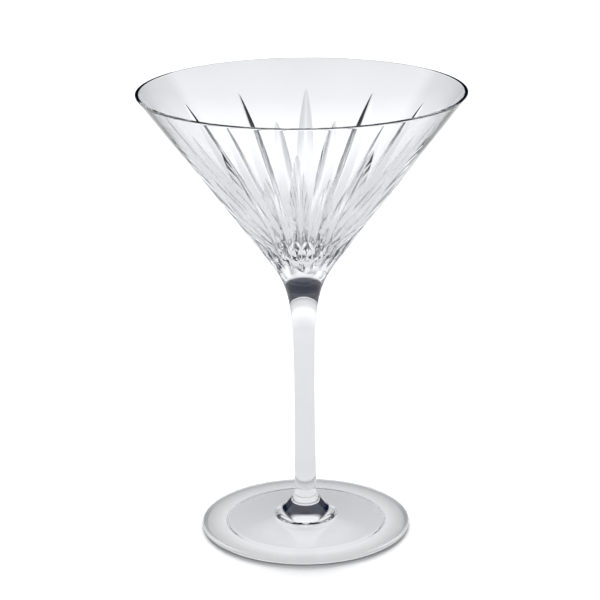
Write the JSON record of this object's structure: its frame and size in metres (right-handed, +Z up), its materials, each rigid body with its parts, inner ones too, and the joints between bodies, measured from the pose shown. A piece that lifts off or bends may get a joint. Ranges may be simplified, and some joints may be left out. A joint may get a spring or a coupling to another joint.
{
  "type": "martini glass",
  "caption": "Stemmed martini glass in clear crystal with a conical bowl, tapered cuts ground round the outside, a drawn stem and a round foot.",
  "frame": {"origin": "centre of the ring that the foot stands on, at the height of the table", "axes": "+Z up along the stem's axis, towards the rim; -Y is the side that faces the viewer, and the cut pattern is turned 2 degrees from it"},
  "size_m": [0.1264, 0.1264, 0.178],
  "materials": {
    "bowl_crystal": "polished clear crystal with ground and polished cuts",
    "stem_crystal": "fire-polished clear crystal",
    "foot_crystal": "fire-polished clear crystal"
  },
  "bodies": {
    "root": {"bowl": "bowl_crystal", "stem": "stem_crystal", "foot": "foot_crystal"}
  },
  "joints": []
}
